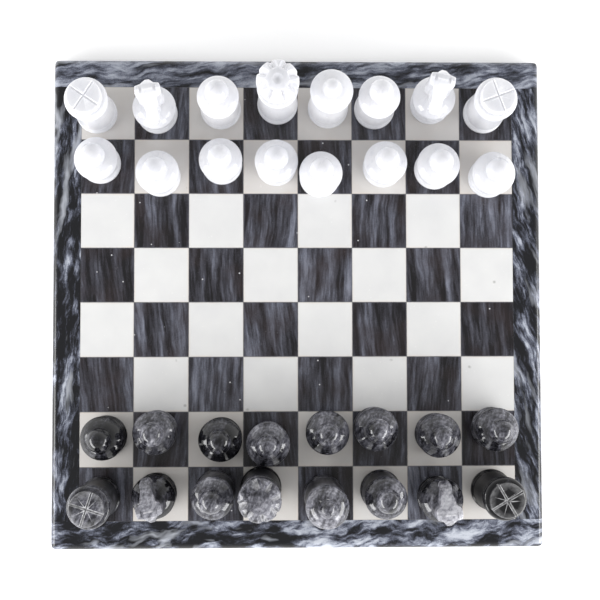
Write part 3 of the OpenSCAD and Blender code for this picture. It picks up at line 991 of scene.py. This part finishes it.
def cutFromSlab(name, corners, depth):
    bpy.ops.object.select_all(action="DESELECT")
    bpy.ops.mesh.primitive_plane_add(size=0.01)
    slab = bpy.context.object
    slab.name = name
    bpy.ops.object.mode_set(mode="EDIT")
    bpy.ops.mesh.select_all(action="SELECT")
    bpy.ops.mesh.merge(type="CENTER")
    last = Vector((0, 0, 0))
    for number, corner in enumerate(corners):
        here = Vector(corner) * mm
        if number == 0:
            bpy.ops.transform.translate(value=here - last)
        else:
            bpy.ops.mesh.extrude_region_move(TRANSFORM_OT_translate={"value": here - last})
        last = here
    bpy.ops.mesh.select_all(action="SELECT")
    bpy.ops.mesh.edge_face_add()
    bpy.ops.mesh.extrude_region_move(TRANSFORM_OT_translate={"value": [v * mm for v in depth]})
    bpy.ops.mesh.select_all(action="SELECT")
    bpy.ops.mesh.normals_make_consistent(inside=False)
    bpy.ops.object.mode_set(mode="OBJECT")
    return slab


head = cutFromSlab("knightHead", [(-10, y, z) for y, z in knightSide], (20, 0, 0))
mirrored = [(-x, y) for x, y in reversed(knightPlan[1:-1])]
headPlan = cutFromSlab("knightPlan", [(x, y, 0) for x, y in knightPlan + mirrored], (0, 0, 62))
cutWith(head, headPlan, "INTERSECT")
easeEdges(head, knightLook["ease"], 25)
for side in (-1, 1):
    ear, eye, nostril = [
        (side * x, y, top + z) for x, y, z in (knightLook[key] for key in ("earAt", "eyeAt", "nostrilAt"))
    ]
    cutWith(head, sawBlade(knightLook["ear"], ear, (0, side * knightLook["earLean"], 0)))
    cutWith(head, drill(knightLook["eyeR"], eye, 3))
    cutWith(head, drill(knightLook["nostrilR"], nostril, 2.4))
mouthY, mouthZ = knightLook["mouthAt"]
cutWith(head, sawBlade(knightLook["mouth"], (0, mouthY, top + mouthZ), (knightLook["mouthSlope"], 0, 0)))
for i in range(knightLook["maneCuts"]):
    maneAt = (0, knightLook["maneAt"], knightLook["maneFrom"] + knightLook["maneStep"] * i)
    cutWith(head, sawBlade(knightLook["maneBlade"], maneAt, (knightLook["maneSlope"], 0, 0)))
domeTop = bulgeEnd(lowBase["rimR"], lowBase["rimZ"], capThick, capDome, 4)
knight = turnOnLathe("knightModel", lowBaseOutline(4) + [(0, domeTop)])
cutWith(knight, head, "UNION")
print("knight made")

# Each piece: how far it is turned, and how much its colour is lifted or lowered at the foot and at the top
armies = {
    "white": {
        "rook_left": (56, 0, 0), "knight_left": (9, 0, 0), "bishop_left": (0, 0, 0), "king": (20, 0, 0),
        "queen": (0, 0, 0), "bishop_right": (0, 0, 0), "knight_right": (-13, 0, 0), "rook_right": (20, 0, 0),
        "pawn_1": (0, 0, 0), "pawn_2": (30, 0, 0), "pawn_3": (75, 0, 0), "pawn_4": (120, 0, 0),
        "pawn_5": (160, 0, 0), "pawn_6": (200, 0, 0), "pawn_7": (250, 0, 0), "pawn_8": (300, 0, 0),
    },
    "grey": {
        "rook_left": (72, -0.12, 0.02), "knight_left": (13, -0.16, 0.16), "bishop_left": (0, -0.05, 0.04),
        "king": (10, -0.16, 0.12), "queen": (0, -0.02, 0.12), "bishop_right": (0, -0.04, 0.06),
        "knight_right": (4, -0.08, 0.30), "rook_right": (30, -0.30, -0.34),
        "pawn_1": (0, -0.16, -0.10), "pawn_2": (30, 0.04, 0.10), "pawn_3": (75, -0.16, -0.06),
        "pawn_4": (120, 0.12, -0.04), "pawn_5": (160, -0.02, 0.04), "pawn_6": (200, 0.0, 0.06),
        "pawn_7": (250, 0.0, 0.05), "pawn_8": (300, 0.0, 0.04),
    },
}
models = {"rook": rook, "knight": knight, "bishop": bishop, "king": king, "queen": queen, "pawn": pawn}
planWidth = 34 * mm  # each model's plan is laid out over a square of this width
for model in models.values():
    smoothOver(model)
    flat = model.data.uv_layers.new(name="plan")
    for loop in model.data.loops:
        point = model.data.vertices[loop.vertex_index].co
        flat.data[loop.index].uv = (0.5 + point.x / planWidth, 0.5 + point.y / planWidth)


def stand(name, army, turn, footTone, topTone):
    node = army + "_" + name
    low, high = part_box(node)
    model = models[name.split("_")[0]]
    bpy.ops.object.select_all(action="DESELECT")
    model.select_set(True)
    bpy.context.view_layer.objects.active = model
    bpy.ops.object.duplicate(linked=False)
    piece = bpy.context.object
    piece.name = node + "_stone"
    tall = high.z - low.z
    shade = piece.data.attributes.new("tone", "FLOAT", "POINT")
    for vertex in piece.data.vertices:
        share = min(1, max(0, vertex.co.z / tall * 1.6 - 0.5))
        shade.data[vertex.index].value = footTone + (topTone - footTone) * share
    piece.rotation_euler = (0, 0, radians(turn + (180 if army == "white" else 0)))
    bpy.ops.object.transform_apply(location=True, rotation=True, scale=True)
    # the middles of the two boxes are laid on each other
    spans = [[vertex.co[axis] for vertex in piece.data.vertices] for axis in (0, 1)]
    middle = [(min(span) + max(span)) / 2 for span in spans]
    piece.location = ((low.x + high.x) / 2 - middle[0], (low.y + high.y) / 2 - middle[1], low.z)
    bpy.ops.object.transform_apply(location=True, rotation=True, scale=True)
    piece.data.materials.clear()
    for finish in finishes[army]:
        piece.data.materials.append(finish)
    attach(piece, node)
    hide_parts(node)
    return piece


for army, row in armies.items():
    for name, (turn, footTone, topTone) in row.items():
        stand(name, army, turn, footTone, topTone)
for model in models.values():
    bpy.data.objects.remove(model)
print("both armies stand")

floorLook = {"white": srgb(252, 252, 252), "haze": srgb(249, 249, 249), "glow": 0.2}
bpy.ops.object.select_all(action="DESELECT")
bpy.ops.mesh.primitive_plane_add(size=studio["floorSize"], location=(0, 0, cadBox[0][2]))
floor = bpy.context.object
floor.name = "paleFloor"
floorFinish, t, shader, place = startMaterial("paleFloor")
haze = put(t, "TexNoise", None, {"Scale": 3.0, "Detail": 2.0})
wire(t, place, haze.inputs["Vector"])
colour = blendColours(t, spread(t, haze.outputs["Fac"], 0.3, 0.7), floorLook["white"], floorLook["haze"])
wire(t, colour, shader.inputs["Base Color"])
wire(t, colour, shader.inputs["Emission Color"])
shader.inputs["Emission Strength"].default_value = floorLook["glow"]
wire(t, spread(t, haze.outputs["Fac"], 0.3, 0.7, 0.85, 0.95), shader.inputs["Roughness"])
floor.data.materials.append(floorFinish)
